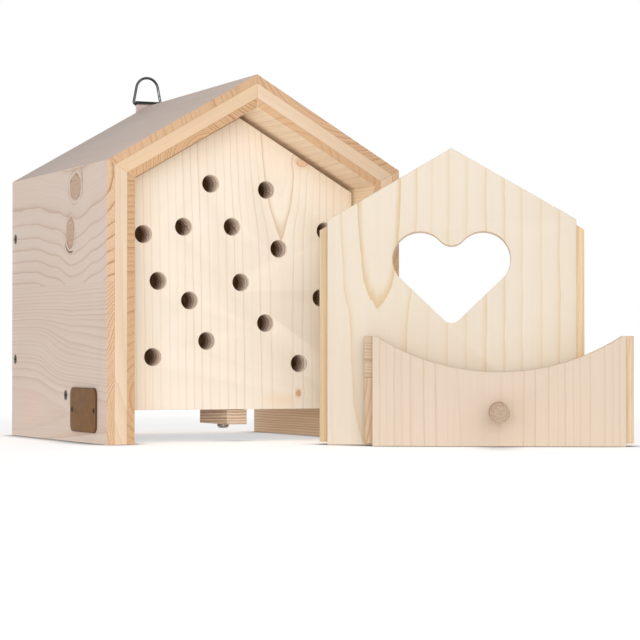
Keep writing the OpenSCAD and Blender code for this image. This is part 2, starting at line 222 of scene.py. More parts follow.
# Streaks, pores, slow blotches and the specks of sawn ends
fibreHabit = {"Streak": {"rates": (0.012, 1.0, 1.0), "detail": 3.0, "rough": 0.6, "shown": (0.36, 0.66)},
              "Pore": {"rates": (0.11, 3.4, 3.4), "detail": 2.0, "rough": 0.5, "shown": (0.56, 0.72)},
              "Blotch": {"rates": (0.009, 0.03, 0.03), "detail": 2.0, "rough": 0.5, "shown": (0.34, 0.68)},
              "Speckle": {"rates": (1.6, 1.6, 1.6), "detail": 2.0, "rough": 0.6, "shown": (0.4, 0.66)}}


def makeFibres():
    tree, given, out = newGroup("fibres", [("Point", "Vector", None), ("Seed", "Float", 0.0)], list(fibreHabit))
    parts = split(tree, given["Point"])
    for label, habit in fibreHabit.items():
        cloud = noise(tree, stretched(tree, parts, habit["rates"]), given["Seed"], habit["detail"], habit["rough"])
        tree.links.new(smooth(tree, cloud, *habit["shown"]), out[label])
    return tree


# One knot: how far it pushes the fibres aside, its own body, its broken dark rims and its rings
knotHabit = {"raggedRates": (0.25, 0.25, 0.25), "ragged": 0.3, "patchRates": (0.13, 0.13, 0.13),
             "patches": (0.4, 0.6), "fadeAlong": -0.32, "fadeAcross": -0.42, "pushSlope": 1.4,
             "nearRim": (1.0, 0.0, 0.11, 1.0), "farRim": (1.3, 0.0, 0.07, 0.5), "rimPatches": (0.75, 0.25),
             "rings": 3.3, "ringSharp": 2.5, "body": (0.9, 1.05), "stain": (0.2, 2.4)}


def makeKnot():
    habit = knotHabit
    tree, given, out = newGroup("knot", [
        ("Point", "Vector", None), ("Along", "Float", 0.0), ("Across", "Float", 0.0),
        ("Half Length", "Float", 8.0), ("Half Width", "Float", 6.0), ("Force", "Float", 8.0),
        ("Seed", "Float", 0.0)], ["Push", "Body", "Rim", "Rings", "Stain"])
    parts = split(tree, given["Point"])
    along = maths(tree, "DIVIDE", minus(tree, parts[0], given["Along"]), given["Half Length"])
    across = maths(tree, "DIVIDE", minus(tree, parts[1], given["Across"]), given["Half Width"])
    ragged = noise(tree, stretched(tree, parts, habit["raggedRates"]), given["Seed"], detail=2.0)
    patchy = noise(tree, stretched(tree, parts, habit["patchRates"]), given["Seed"])
    patchy = smooth(tree, patchy, *habit["patches"])
    distance = timesPlus(tree, minus(tree, ragged, 0.5), habit["ragged"], spanOf(tree, along, across))
    fade = maths(tree, "ADD", product(tree, along, along, habit["fadeAlong"]),
                 product(tree, maths(tree, "ABSOLUTE", across), habit["fadeAcross"]))
    slope = maths(tree, "TANH", product(tree, across, habit["pushSlope"]))
    push = product(tree, slope, maths(tree, "EXPONENT", fade), given["Force"])
    rim = product(tree, closeTo(tree, distance, *habit["nearRim"]), timesPlus(tree, patchy, *habit["rimPatches"]))
    rim = maths(tree, "MAXIMUM", rim, product(tree, closeTo(tree, distance, *habit["farRim"]),
                                              minus(tree, 1.0, patchy)))
    rings = maths(tree, "FRACT", product(tree, distance, habit["rings"]))
    tree.links.new(push, out["Push"])
    tree.links.new(smooth(tree, distance, *habit["body"], 1.0, 0.0), out["Body"])
    tree.links.new(smooth(tree, distance, *habit["stain"], 1.0, 0.0), out["Stain"])
    tree.links.new(rim, out["Rim"])
    tree.links.new(maths(tree, "POWER", rings, habit["ringSharp"]), out["Rings"])
    return tree


growthRings = makeGrowthRings()
fibres = makeFibres()
knot = makeKnot()


# Boards

up = Vector((0, 0, 1))
backwards = Vector((0, 1, 0))
leftLow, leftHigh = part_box("left_wall")
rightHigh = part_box("right_wall")[1]
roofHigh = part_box("right_roof")[1]
house = Vector(((leftLow.x + rightHigh.x) / 2, leftLow.y, 0))
houseCore = house + Vector((0, (leftHigh.y - leftLow.y) / 2, leftHigh.z / 2))
boardThick = leftHigh.x - leftLow.x
coreShare = 0.45
edge = -110  # millimetres across the fibres, before any board's edge: where a first strip starts


# Place and turn of a board: x along its fibres, y across them, z through it from its outer face
def boardPlace(node, along, inward=None):
    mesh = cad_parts[node].data
    low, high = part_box(node)
    middle = (low + high) / 2

    def looks(face):
        return tuple(round(part, 2) for part in face.normal)

    areas = {}
    for face in mesh.polygons:
        areas[looks(face)] = areas.get(looks(face), 0) + face.area
    widest = max(areas, key=areas.get)
    deep = max((face for face in mesh.polygons if looks(face) == widest), key=lambda face: face.area).normal.copy()
    if deep.dot(inward or (houseCore - middle)) < 0:
        deep.negate()
    reach = [vertex.co.dot(deep) for vertex in mesh.vertices]
    middle += deep * ((min(reach) + max(reach)) / 2 - middle.dot(deep))
    return middle, Matrix((along, deep.cross(along), deep)).transposed().to_euler()


# A value that changes from one glued strip of the board to the next
def stripValue(tree, across, strips, key, usual):
    value = strips[0].get(key, usual)
    for strip, before in zip(strips[1:], strips[:-1]):
        change = strip.get(key, usual) - before.get(key, usual)
        if change:
            value = timesPlus(tree, maths(tree, "GREATER_THAN", across, strip["from"]), change, value)
    return value


# What the dice draw an ordinary strip from
plainRanges = {"wide": (60, 95), "middle": (-0.4, 1.4), "deep": (16, 60), "spacing": (0.7, 1.4), "wave": (1.0, 2.5),
               "tilt": (-0.06, 0.06), "line": (0.8, 1.2), "tone": (0.975, 1.02)}


# Strips of ordinary board for the faces that the picture shows little of
def plainStrips(seed, spacing, line):
    dice = random.Random(seed)
    strips, start = [], edge

    def draw(key):
        return dice.uniform(*plainRanges[key])

    while start < -edge:
        wide = draw("wide")
        strips.append({"from": start, "middle": start + wide * draw("middle"),
                       "deep": dice.choice((-1, 1)) * draw("deep"), "spacing": spacing * draw("spacing"),
                       "wave": draw("wave"), "tilt": draw("tilt"), "line": line * draw("line"), "tone": draw("tone")})
        start += wide
    return strips


# A curve through given places along the board
def stepCurve(tree, along, steps):
    low, high = steps[0][0], steps[-1][0]
    most = max(abs(rise) for place, rise in steps)
    share = put(tree, "ShaderNodeMapRange", {"Value": along, "From Min": low, "From Max": high}).outputs[0]
    node = put(tree, "ShaderNodeFloatCurve", {"Value": share})
    curve = node.mapping.curves[0]
    places = [((place - low) / (high - low), 0.5 + 0.5 * rise / most) for place, rise in steps]
    curve.points[0].location, curve.points[1].location = places[0], places[-1]
    for place in places[1:-1]:
        curve.points.new(*place)
    node.mapping.update()
    return product(tree, minus(tree, node.outputs[0], 0.5), 2 * most)


# What a strip doesn't say of its rings
usualStrip = {"middle": 0.0, "deep": 30.0, "reach": 30.0, "spacing": 4.0, "wave": 1.2, "uneven": 2.2, "vary": 0.75,
              "sharp": 6.0, "strong": -500.0}


# Ring lines of one layer, its tone and the point that follows its bent fibres
def ringLayer(tree, point, push, strips, seed):
    x, across, z = split(tree, point)
    flow = minus(tree, across, push)
    for number, strip in enumerate(strips):
        if "bendSteps" in strip:
            bend = product(tree, stepCurve(tree, x, strip["bendSteps"]),
                           bell(tree, across, strip["bendAt"], strip["bendReach"]),
                           maths(tree, "GREATER_THAN", across, strip["from"]))
            if number + 1 < len(strips):
                bend = product(tree, bend, maths(tree, "LESS_THAN", across, strips[number + 1]["from"]))
            flow = minus(tree, flow, bend)
    flowPoint = vector(tree, x, flow, z)
    wires = {"Point": flowPoint, "Seed": seed}
    for key, usual in usualStrip.items():
        wires[key.capitalize()] = stripValue(tree, across, strips, key, usual)
    if "taperSteps" in strips[0]:
        wires["Taper"] = stepCurve(tree, x, strips[0]["taperSteps"])
    else:
        wires["Taper"] = product(tree, x, stripValue(tree, across, strips, "tilt", 0.0))
    line = useGroup(tree, growthRings, wires)["Line"]
    line = product(tree, line, stripValue(tree, across, strips, "line", 1.0))
    return line, stripValue(tree, across, strips, "tone", 1.0), flowPoint


# How strongly each mark of the wood shows on every board
boardHabit = {"blotch": 0.5, "streak": 0.22, "speckle": 0.3, "endLine": 1.3, "sawn": (0.55, 0.8),
              "coreBlotch": 0.3, "coreStreak": 0.15, "coreEndLine": 1.5, "coreEdge": 0.08,
              "glue": (0.05, 0.3, 0.35), "knotRings": 0.7, "stain": 0.2, "crack": 0.85, "crackEnds": (-0.05, 0.15),
              "drillShake": 4.0, "drillShown": (0.0, 0.9, 0.0, 0.75),
              "rough": 0.58, "roughStreak": 0.12, "ringHeight": 0.5,
              "streakHeight": 0.35, "poreHeight": -0.4, "speckHeight": 0.5, "relief": (0.35, 0.00012),
              "innerSeed": 5.3, "coreSeed": 9.1, "coreFibreSeed": 3.3}


# The body, rims and stain of a knot in the outer layer
def addKnot(tree, colour, one, made, outside, colours):
    own, dark = rgba(one.get("colour", colours["knot"])), rgba(one.get("dark", colours["knotDark"]))
    ringed = mixColour(tree, product(tree, made["Rings"], boardHabit["knotRings"]), own, dark)
    stain = product(tree, made["Stain"], outside, one.get("stain", boardHabit["stain"]))
    colour = mixColour(tree, stain, colour, own)
    colour = mixColour(tree, product(tree, made["Body"], outside, one["depth"]), colour, ringed)
    return mixColour(tree, product(tree, made["Rim"], outside, one["rim"]), colour, dark)


# A dark gap beside a knot: part of an ellipse about its middle
def crackGap(tree, x, y, one):
    over = timesPlus(tree, x, 1 / one["long"], -one["along"] / one["long"])
    beside = timesPlus(tree, y, 1 / one["wide"], -one["across"] / one["wide"])
    out = spanOf(tree, over, beside)
    turn, swing = math.radians(one["turn"]), math.cos(math.radians(one["swing"]))
    ahead = timesPlus(tree, over, math.cos(turn), product(tree, beside, math.sin(turn)))
    ahead = maths(tree, "DIVIDE", ahead, maths(tree, "MAXIMUM", out, 0.01))
    gap = closeTo(tree, out, 1.0, one["thick"] / 2, one["thick"], boardHabit["crack"])
    ends = boardHabit["crackEnds"]
    return product(tree, gap, smooth(tree, ahead, swing + ends[0], swing + ends[1]))


# Three-layer board: outer layers with the fibres along x, a core with them across
def boardWood(name, node, along, look, inward=None):
    middle, turn = boardPlace(node, along, inward)
    material, tree, shader = newMaterial(name)
    seed, colours, habit = look["seed"], look["colours"], boardHabit
    point, facing = ownPlace(tree, middle, turn)
    x, y, z = split(tree, point)
    faces = split(tree, facing)
    inside = maths(tree, "GREATER_THAN", z, 0.0)
    outside = minus(tree, 1.0, inside)

    push, knots = 0.0, []
    for number, one in enumerate(look.get("knots", [])):
        made = useGroup(tree, knot, {"Point": point, "Along": one["along"], "Across": one["across"],
                                     "Half Length": one["halfLength"], "Half Width": one["halfWidth"],
                                     "Force": one["force"], "Seed": seed + number})
        push = maths(tree, "ADD", push, made["Push"])
        knots.append((one, made))
    outerLine, outerTone, outerPoint = ringLayer(tree, point, push, look["outer"], seed)
    innerLine, innerTone, innerPoint = ringLayer(tree, point, 0.0, look["inner"], seed + habit["innerSeed"])
    coreLine, _, corePoint = ringLayer(tree, vector(tree, y, x, z), 0.0, look["core"], seed + habit["coreSeed"])
    fibrePoint = put(tree, "ShaderNodeMix", {0: inside, 4: outerPoint, 5: innerPoint}, data_type="VECTOR").outputs[1]
    fibre = useGroup(tree, fibres, {"Point": fibrePoint, "Seed": seed})
    coreFibre = useGroup(tree, fibres, {"Point": corePoint, "Seed": seed + habit["coreFibreSeed"]})
    line = put(tree, "ShaderNodeMix", {0: inside, 2: outerLine, 3: innerLine}).outputs[0]
    tone = put(tree, "ShaderNodeMix", {0: inside, 2: outerTone, 3: innerTone}).outputs[0]

    def layered(outer, inner):
        return mixColour(tree, inside, rgba(colours[outer]), rgba(colours.get(inner, colours[outer])))

    pale, dark, sawn = layered("pale", "innerPale"), layered("line", "innerLine"), layered("end", "innerEnd")
    endDark, core, coreDark = rgba(colours["endLine"]), rgba(colours["core"]), rgba(colours["coreLine"])
    face = mixColour(tree, product(tree, fibre["Blotch"], habit["blotch"]), pale, rgba(colours["blush"]), "MULTIPLY")
    streak = product(tree, fibre["Streak"], look.get("streak", habit["streak"]))
    face = mixColour(tree, line, mixColour(tree, streak, face, dark), dark)
    sawn = mixColour(tree, product(tree, fibre["Speckle"], habit["speckle"]), sawn, endDark)
    sawn = mixColour(tree, product(tree, line, look.get("endLine", habit["endLine"])), sawn, endDark)
    cutAcross = smooth(tree, maths(tree, "ABSOLUTE", faces[0]), *habit["sawn"])
    face = mixColour(tree, cutAcross, face, sawn)
    coreCloud = timesPlus(tree, coreFibre["Blotch"], habit["coreBlotch"],
                          product(tree, coreFibre["Streak"], habit["coreStreak"]))
    coreFace = mixColour(tree, coreLine, mixColour(tree, coreCloud, core, coreDark), coreDark)
    coreSawn = mixColour(tree, product(tree, coreLine, habit["coreEndLine"]), rgba(colours["end"]), endDark)
    coreFace = mixColour(tree, smooth(tree, maths(tree, "ABSOLUTE", faces[1]), *habit["sawn"]), coreFace, coreSawn)
    depth = maths(tree, "ABSOLUTE", z)
    half = boardThick / mm * coreShare / 2
    inCore = smooth(tree, depth, half - habit["coreEdge"], half + habit["coreEdge"], 1.0, 0.0)
    colour = mixColour(tree, inCore, face, coreFace)
    colour = mixColour(tree, closeTo(tree, depth, half, *habit["glue"]), colour, endDark)
    for one, made in knots:
        colour = addKnot(tree, colour, one, made, outside, colours)
    for one in look.get("cracks", []):
        gap = product(tree, crackGap(tree, x, y, one), outside)
        colour = mixColour(tree, gap, colour, rgba(colours["crack"]))
    if "shadeTint" in look:
        # painted shade: darker and warmer towards one side and one end of the board, where the wall and roof shade
        # the plate
        side = smooth(tree, y, *look["shadeSide"])
        shading = maths(tree, "MAXIMUM", side, smooth(tree, x, *look["shadeEnd"]))
        colour = mixColour(tree, shading, colour, rgba(look["shadeTint"]), "MULTIPLY")
    if "drill" in look:
        # marks of the drill run round the bore
        turns = timesPlus(tree, z, look["drill"], product(tree, fibre["Blotch"], habit["drillShake"]))
        marks = smooth(tree, maths(tree, "SINE", turns), *habit["drillShown"])
        colour = mixColour(tree, marks, colour, rgba(colours["line"]))

    rough = timesPlus(tree, fibre["Streak"], habit["roughStreak"], look.get("rough", habit["rough"]))
    height = timesPlus(tree, line, habit["ringHeight"], product(tree, fibre["Streak"], habit["streakHeight"]))
    height = timesPlus(tree, fibre["Pore"], habit["poreHeight"], height)
    specks = product(tree, fibre["Speckle"], cutAcross)
    height = timesPlus(tree, specks, habit["speckHeight"], height)
    surface(tree, shader, toned(tree, colour, tone), rough, height, habit["relief"])
    if "glow" in look:
        # painted light: a glow of the piece's own, standing in for light that bounces on inside the dark house
        shader.inputs["Emission Color"].default_value = rgba(look["glow"])
        shader.inputs["Emission Strength"].default_value = 1.0
        if "glowFade" in look:
            # the painted glow fades with depth through the board
            glow = mixColour(tree, smooth(tree, z, *look["glowFade"]), rgba((0, 0, 0)), rgba(look["glow"]))
            tree.links.new(glow, shader.inputs["Emission Color"])
    return material


# How a piece's loose triangles join, in metres and degrees, and which of its edges stay sharp
joining = {"within": 0.000005, "flat": 0.2, "bevelFrom": 28, "bevelSteps": 2, "smoothBelow": 32}


# A copy of a CAD piece with its loose triangles joined and its sharp edges softened
def softPiece(node, name, body, material, softness=0.4, boreMaterial=None, isBore=None):
    bpy.ops.object.select_all(action="DESELECT")
    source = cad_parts[node]
    source.select_set(True)
    bpy.context.view_layer.objects.active = source
    bpy.ops.object.duplicate()
    piece = bpy.context.object
    for key in list(piece.keys()):
        del piece[key]
    piece.name = name
    piece.data.name = name
    bpy.ops.object.mode_set(mode="EDIT")
    bpy.ops.mesh.select_all(action="SELECT")
    bpy.ops.mesh.remove_doubles(threshold=joining["within"])
    bpy.ops.mesh.dissolve_limited(angle_limit=math.radians(joining["flat"]))
    bpy.ops.object.mode_set(mode="OBJECT")
    piece.data.materials.clear()
    piece.data.materials.append(material)
    bevel = piece.modifiers.new("softEdges", "BEVEL")
    bevel.width = softness * mm
    bevel.segments = joining["bevelSteps"]
    bevel.limit_method = "ANGLE"
    bevel.angle_limit = math.radians(joining["bevelFrom"])
    bevel.use_clamp_overlap = True
    bpy.ops.object.modifier_apply(modifier=bevel.name)
    if boreMaterial:
        piece.data.materials.append(boreMaterial)
        for face in piece.data.polygons:
            face.material_index = 1 if isBore(face) else 0
    bpy.ops.object.shade_smooth_by_angle(angle=math.radians(joining["smoothBelow"]))
    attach(piece, body)
    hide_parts(node)


# Colours of the unfinished softwood: the outer layers, their sawn ends, the core and the knots
shellColours = {"pale": (0.82, 0.68, 0.58), "line": (0.52, 0.29, 0.165), "blush": (0.97, 0.94, 0.92),
                "innerPale": (0.84, 0.655, 0.45), "innerLine": (0.5, 0.31, 0.17),
                "end": (0.74, 0.505, 0.32), "endLine": (0.42, 0.2, 0.09), "innerEnd": (0.69, 0.44, 0.25),
                "core": (0.83, 0.665, 0.5), "coreLine": (0.66, 0.44, 0.26), "knot": (0.62, 0.43, 0.32),
                "knotDark": (0.34, 0.19, 0.11), "crack": (0.1, 0.055, 0.03)}
roofColours = dict(shellColours, pale=(0.67, 0.56, 0.5), end=(0.69, 0.455, 0.275), core=(0.79, 0.58, 0.385))
plateColours = {"pale": (0.915, 0.83, 0.715), "line": (0.6, 0.41, 0.24), "blush": (1.0, 0.965, 0.92),
                "end": (0.86, 0.66, 0.46), "endLine": (0.5, 0.32, 0.2), "core": (0.9, 0.75, 0.58),
                "coreLine": (0.68, 0.5, 0.34), "knot": (0.74, 0.5, 0.32), "knotDark": (0.45, 0.25, 0.13)}
looseColours = dict(plateColours, pale=(0.755, 0.665, 0.55), line=(0.62, 0.41, 0.175), blush=(0.99, 0.98, 0.95))
halfColours = dict(looseColours, pale=(0.7, 0.575, 0.46), line=(0.53, 0.33, 0.165))
# painted light: the bore walls are paler than the plate's wood, standing in for light that falls into the bores
boreColours = {"pale": (0.93, 0.81, 0.7), "line": (0.38, 0.27, 0.19), "blush": (0.9, 0.85, 0.8),
               "end": (0.95, 0.79, 0.68), "endLine": (0.4, 0.25, 0.17), "core": (0.93, 0.78, 0.67),
               "coreLine": (0.38, 0.24, 0.16)}

leftWall = {
    "seed": 1.7, "colours": dict(shellColours, end=(0.77, 0.53, 0.34)), "streak": 0.06, "endLine": 2.1,
    "cracks": [{"along": -30.3, "across": 47.5, "long": 14.0, "wide": 12.2, "turn": -70, "swing": 42, "thick": 0.07},
               {"along": -40.2, "across": 78.6, "long": 14.5, "wide": 24, "turn": 166, "swing": 20, "thick": 0.08}],
    "outer": [
        {"from": edge, "middle": -73, "deep": 64, "spacing": 1.65, "wave": 0.35, "uneven": 1.2, "line": 0.42,
         "sharp": 3.0, "tilt": 0.013, "reach": 60, "bendAt": -37, "bendReach": 21,
         "bendSteps": [(-105, -16), (-55, -14), (-8, -11), (10, -7), (24, -3), (38, 0), (60, 1), (105, 1)]},
        {"from": 14, "middle": 86, "deep": -34.5, "spacing": 7.4, "wave": 0.15, "uneven": 0.4, "vary": 0.25,
         "line": 0.85, "sharp": 9.0, "bendAt": 50, "bendReach": 400,
         "bendSteps": [(-105, -1), (-85, -6), (-75, -7), (-54, -12), (-42, -13), (-33, -13), (-26, -12.5),
                       (-16, -10.5), (-7, -8), (0, -7), (11, -6), (34, -2.5), (45, -1), (70, -0.3), (105, 0)]}],
    "inner": [{"from": edge, "middle": -62, "deep": 25, "spacing": 4.6, "uneven": 1.2, "line": 0.42, "sharp": 5.0},
              {"from": 15, "middle": -64, "deep": 9, "spacing": 3.6, "uneven": 1.4, "line": 0.45, "sharp": 3.0}],
    "core": [{"from": edge, "middle": -105, "deep": -30, "spacing": 11, "wave": 0.8, "uneven": 1.2, "line": 0.55,
              "sharp": 1.8, "reach": 400, "taperSteps": [(-92, 19), (-66, 11), (-30, 1.5), (0, 0), (92, -2)]}],
    "knots": [
        {"along": -40.2, "across": 78.6, "halfLength": 11.4, "halfWidth": 8.8, "force": 4, "depth": 0.75,
         "rim": 0.95, "colour": (0.62, 0.41, 0.27), "dark": (0.28, 0.13, 0.06)},
        {"along": -29.5, "across": 48.5, "halfLength": 8.4, "halfWidth": 10.3, "force": 4.5, "depth": 0.75,
         "rim": 0.95, "colour": (0.62, 0.41, 0.27), "dark": (0.28, 0.13, 0.06)},
        {"along": 62, "across": -71, "halfLength": 22, "halfWidth": 12, "force": 3, "depth": 0.16, "rim": 0.05,
         "colour": (0.86, 0.62, 0.5), "dark": (0.74, 0.47, 0.36)}]}
rightWall = {
    "seed": 4.2, "colours": dict(shellColours, innerPale=(0.88, 0.71, 0.51), innerLine=(0.52, 0.335, 0.21)),
    # painted light: a faint glow of its own in place of bounced light
    "glow": (0.012, 0.006, 0.002), "outer": plainStrips(21, 3.6, 0.7),
    "inner": [{"from": edge, "middle": -20, "deep": -20, "spacing": 1.9, "wave": 0.6, "uneven": 1.2, "line": 0.5,
               "sharp": 4.0, "tilt": 0.01, "reach": 90},
              {"from": -8, "middle": 5, "deep": 12, "spacing": 1.85, "wave": 0.3, "uneven": 0.8, "vary": 0.3,
               "line": 1.0, "sharp": 2.2}],
    "core": plainStrips(23, 4.0, 0.5),
    "knots": [{"along": 20, "across": -40, "halfLength": 9, "halfWidth": 8, "force": 6, "depth": 0.6, "rim": 0.6},
              {"along": -52, "across": 44, "halfLength": 7, "halfWidth": 6, "force": 5, "depth": 0.6, "rim": 0.6}]}
leftRoof = {
    "seed": 7.9, "colours": roofColours, "streak": 0.07, "endLine": 3.2, "outer": plainStrips(31, 5.0, 0.22),
    "inner": plainStrips(32, 2.6, 0.9), "core": plainStrips(33, 6.0, 0.12)}
rightRoof = {
    # painted light: the inner face is paler than on the other boards, against the shade under the roof
    "seed": 3.1, "colours": dict(roofColours, core=(0.79, 0.61, 0.45), innerPale=(0.92, 0.75, 0.56)),
    "endLine": 1.8,
    "outer": [{"from": edge, "middle": -20, "deep": -75, "spacing": 2.6, "wave": 0.9, "uneven": 1.4, "line": 0.6,
               "sharp": 3.0, "reach": 90}],
    "inner": [{"from": edge, "middle": -8, "deep": 24, "spacing": 5.0, "wave": 4.0, "line": 0.38, "tilt": 0.1,
               "vary": 0.9, "reach": 45}],
    "core": plainStrips(43, 6.0, 0.3),
    "knots": [{"along": -30, "across": 25, "halfLength": 8, "halfWidth": 7, "force": 6, "depth": 0.6, "rim": 0.6}]}
backWall = {
    # painted light: a faint glow of its own in place of bounced light
    "seed": 5.5, "colours": shellColours, "glow": (0.013, 0.006, 0.002), "outer": plainStrips(51, 4.5, 0.7),
    "inner": plainStrips(52, 4.0, 0.8), "core": plainStrips(53, 5.0, 0.4),
    "knots": [{"along": 10, "across": 38, "halfLength": 9, "halfWidth": 7, "force": 6, "depth": 0.6, "rim": 0.6},
              {"along": -48, "across": -50, "halfLength": 7, "halfWidth": 6, "force": 5, "depth": 0.6, "rim": 0.6}]}
floorBoard = {
    "seed": 6.6, "colours": shellColours, "outer": plainStrips(61, 4.0, 0.7), "inner": plainStrips(62, 4.0, 0.7),
    "core": plainStrips(63, 5.0, 0.4)}
drilledPlate = {
    "seed": 2.4, "colours": plateColours, "streak": 0.05, "rough": 0.52,
    # painted shade of the left wall and the roof: darker and warmer towards the left side and the top
    "shadeTint": (0.91, 0.85, 0.8), "shadeSide": (-45, -93), "shadeEnd": (35, 120, 0.0, 0.8),
    "outer": [{"from": edge, "middle": 30.2, "deep": -3.9, "spacing": 5.9, "wave": 0.3, "uneven": 0.5, "line": 0.72,
               "vary": 0.7, "reach": 24, "sharp": 11.0, "strong": 5.1,
               "bendAt": 0, "bendReach": 400, "bendSteps": [(-100, 1.8), (0, 0.6), (100, -2.2)],
               "taperSteps": [(-100, -2.2), (0, -0.7), (18, 0), (43.5, 5.3), (66, 8.8), (100, 12)]}],
    "inner": plainStrips(71, 5.0, 0.6), "core": plainStrips(72, 5.0, 0.5),
    "knots": [
        {"along": 70, "across": 46.5, "halfLength": 2.9, "halfWidth": 4.2, "force": 4, "depth": 0.5, "rim": 0.8,
         "stain": 0.5, "colour": (0.84, 0.56, 0.33), "dark": (0.36, 0.16, 0.06)},
        {"along": -88, "across": 43.6, "halfLength": 2.0, "halfWidth": 1.6, "force": 2, "depth": 0.75, "rim": 0.9,
         "stain": 0.6, "colour": (0.7, 0.42, 0.22), "dark": (0.25, 0.11, 0.05)},
        {"along": -93, "across": 30, "halfLength": 3.5, "halfWidth": 9.0, "force": 0, "depth": 0.0, "rim": 0.0,
         "stain": 0.5, "colour": (0.9, 0.7, 0.5)}]}
boreStrips = [{"from": edge, "middle": -40, "deep": 30, "spacing": 1.5, "wave": 0.8, "line": 1.0, "sharp": 1.6,
               "vary": 0.3}]
# painted light: the bores also glow, most near the front face and fading deeper in
boreLook = dict(drilledPlate, colours=boreColours, knots=[], streak=0.4, outer=boreStrips, inner=boreStrips,
                core=boreStrips, endLine=0.8, drill=1.2, glow=(0.155, 0.147, 0.125), glowFade=(4.0, -9.5))
heartPlate = {
    "seed": 8.3, "colours": looseColours, "streak": 0.05, "rough": 0.52,
    "outer": [{"from": edge, "middle": -47, "deep": -20.7, "spacing": 11.75, "wave": 0.4, "uneven": 0.4, "line": 0.62,
               "reach": 28, "sharp": 8.0, "strong": 10.7,
               "taperSteps": [(-95, -9.5), (-70, -5.5), (-49, -3.6), (-22, -2.6), (-8, -0.6), (0, 1.4), (13, 4.6),
                              (27, 5.8), (55, 8.2), (95, 9)]}],
    "inner": plainStrips(81, 6.0, 0.6), "core": plainStrips(82, 5.0, 0.5)}
halfPlate = {
    "seed": 9.6, "colours": halfColours, "streak": 0.06, "rough": 0.52,
    "outer": [{"from": edge, "middle": -12, "deep": 14.6, "spacing": 5.4, "wave": 0.5, "uneven": 1.3, "line": 0.85,
               "vary": 0.8, "sharp": 13.0, "tilt": 0.02}],
    "inner": plainStrips(91, 6.0, 0.6), "core": plainStrips(92, 5.0, 0.5)}

for node, name, along, look in (
        ("left_wall", "leftWall", backwards, leftWall), ("right_wall", "rightWall", backwards, rightWall),
        ("left_roof", "leftRoof", backwards, leftRoof), ("right_roof", "rightRoof", backwards, rightRoof),
        ("back_wall", "backWall", up, backWall), ("floor_board", "floorBoard", backwards, floorBoard)):
    softPiece(node, name, "house", boardWood(name + "Wood", node, along, look))
print("shell boards dressed")


# The faces of a plate's bores and cut-outs lie inside its outline
def insideOutline(node, margin):
    low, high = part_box(node)
    middle = (low + high) / 2
    slope = math.tan(math.atan2(roofHigh.z - rightHigh.z, rightHigh.x - house.x))

    def check(face):
        spot = face.center
        out = abs(spot.x - middle.x)
        if abs(face.normal.y) >= 0.5:
            return False
        return (spot.z > low.z + margin and out < high.x - middle.x - margin
                and spot.z < high.z - out * slope - margin)

    return check


softPiece("drilled_panel", "drilledPlate", "drilled_front",
          boardWood("drilledPlateWood", "drilled_panel", up, drilledPlate, backwards), softness=0.3,
          boreMaterial=boardWood("boreWood", "drilled_panel", up, boreLook, backwards),
          isBore=insideOutline("drilled_panel", 1.2 * mm))
softPiece("heart_panel", "heartPlate", "heart_front",
          boardWood("heartPlateWood", "heart_panel", up, heartPlate, backwards))
softPiece("half_panel", "halfPlate", "half_front",
          boardWood("halfPlateWood", "half_panel", up, halfPlate, backwards))
print("front plates dressed")


# How strongly each mark shows on sawn strips and blocks, and on the turned perch
solidHabit = {"streak": 0.35, "cross": 0.8,
              "crossRings": {"Middle": -60.0, "Deep": 5.0, "Vary": 0.4, "Wave": 0.4, "Sharp": 3.0},
              "seam": (0.1, 0.5, 0.6), "endLineGain": 0.7, "specks": 0.5, "sawn": (0.55, 0.8),
              "rough": (0.15, 0.6), "ringHeight": 0.5, "streakHeight": 0.5, "speckHeight": 0.9,
              "relief": (0.5, 0.0002)}
usualSolid = {"wave": 0.5, "uneven": 2.2, "vary": 0.75, "sharp": 4.0}
dowelHabit = {"sawn": (0.45, 0.8), "rough": (0.15, 0.55), "speckHeight": 1.5, "relief": (0.6, 0.0002)}


# Ring lines and fibres of a piece of solid wood, and where it is sawn across
def solidMarks(tree, point, facing, look, taper, sawn):
    rings = dict(usualSolid, **look)
    wires = {"Point": point, "Taper": taper}
    for key in ("middle", "deep", "spacing", "wave", "uneven", "vary", "sharp", "seed"):
        wires[key.capitalize()] = rings[key]
    line = useGroup(tree, growthRings, wires)["Line"]
    fibre = useGroup(tree, fibres, {"Point": point, "Seed": look["seed"]})
    return line, fibre, smooth(tree, maths(tree, "ABSOLUTE", split(tree, facing)[0]), *sawn)


